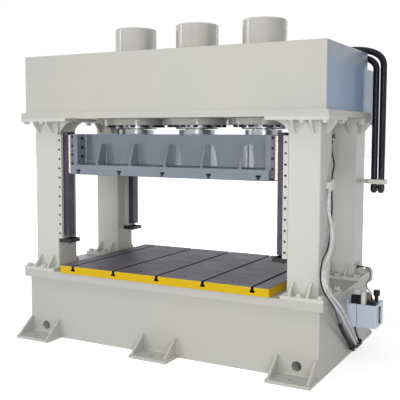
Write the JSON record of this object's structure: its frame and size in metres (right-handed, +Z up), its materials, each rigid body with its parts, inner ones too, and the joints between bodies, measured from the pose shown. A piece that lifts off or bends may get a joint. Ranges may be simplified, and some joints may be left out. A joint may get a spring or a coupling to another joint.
{
  "type": "hydraulic press",
  "caption": "Column hydraulic press with a T-slotted bed, a guided slide below cylinders in a box crown, and a lubricator and hoses on its right side.",
  "frame": {"origin": "on the floor, midway between the columns, at the centre of the anchor holes", "axes": "+X to the right along the bed, +Y to the rear, +Z up"},
  "size_m": [3.565, 1.95, 3.233],
  "materials": {
    "grey_paint": "satin gloss paint",
    "blue_grey_paint": "gloss paint",
    "bed_plate_steel": "ground steel, edges painted yellow",
    "ground_steel": "ground and oiled",
    "bronze": "scraped bronze",
    "dark_screws": "black oxide",
    "zinc_bolts": "painted over with the frame",
    "polished_steel": "hard chromed and polished",
    "black_metal": "satin black",
    "black_rubber": "glossy smooth cover",
    "seal": "matte",
    "black_plastic": "moulded",
    "light_conduit": "corrugated",
    "black_cable": "smooth jacket",
    "clamp_plastic": "moulded",
    "pale_blue_paint": "satin paint",
    "white_paint": "gloss paint",
    "brown_bronze": "cast",
    "gauge_glass": "clear window in a dark frame"
  },
  "bodies": {
    "frame": {"base_frame": "grey_paint", "bolster_plate": "bed_plate_steel", "bolster_screws": "dark_screws", "cable_sleeve": "black_cable", "column_bolts": "zinc_bolts", "column_front_left": "grey_paint", "column_front_right": "grey_paint", "column_rear_left": "grey_paint", "column_rear_right": "grey_paint", "conduit_box": "clamp_plastic", "conduit_elbows": "black_plastic", "conduit_long": "light_conduit", "conduit_short": "light_conduit", "crown_frame": "grey_paint", "cylinder_barrels": "grey_paint", "cylinder_flange_bolts": "dark_screws", "cylinder_head_screws": "dark_screws", "cylinder_heads": "polished_steel", "gland_block": "clamp_plastic", "grease_fitting": "black_metal", "grease_pipe": "black_cable", "guide_rails": "ground_steel", "hose_bracket": "grey_paint", "hose_clamp": "clamp_plastic", "hose_fittings": "black_metal", "hose_inner": "black_rubber", "hose_outer": "black_rubber", "lubricator_bracket": "pale_blue_paint", "lubricator_cable": "black_cable", "lubricator_frame": "white_paint", "lubricator_gauge": "gauge_glass", "lubricator_lid": "pale_blue_paint", "lubricator_motor": "white_paint", "lubricator_outlet_bar": "black_plastic", "lubricator_pump": "pale_blue_paint", "lubricator_tank": "pale_blue_paint", "lubricator_terminal_box": "black_plastic", "lubricator_valve": "brown_bronze", "manifold_block": "grey_paint", "oil_trays": "black_metal", "position_switch": "black_plastic", "rail_screws": "dark_screws", "rod_seals": "seal", "switch_bracket": "grey_paint", "switch_cable": "black_cable", "trunk_cable": "black_cable"},
    "slide": {"slide_frame": "blue_grey_paint", "piston_rods": "polished_steel", "pistons": "ground_steel", "piston_seals": "seal", "rod_clamps": "polished_steel", "rod_clamp_screws": "dark_screws", "gib_front_left": "ground_steel", "gib_front_right": "ground_steel", "gib_rear_left": "ground_steel", "gib_rear_right": "ground_steel", "gib_liners": "bronze", "gib_screws": "dark_screws", "switch_striker": "blue_grey_paint"},
    "filler_cap": {"lubricator_cap": "black_plastic"}
  },
  "joints": [
    {"name": "slide_travel", "type": "slide", "parent": "frame", "child": "slide", "axis": [0, 0, -1], "range_m": [0, 0.6]},
    {"name": "filler_cap_turn", "type": "hinge", "parent": "frame", "child": "filler_cap", "pos_m": [1.852, 0.195, 0.625], "axis": [0, 0, 1], "range_deg": [0, 90]}
  ]
}
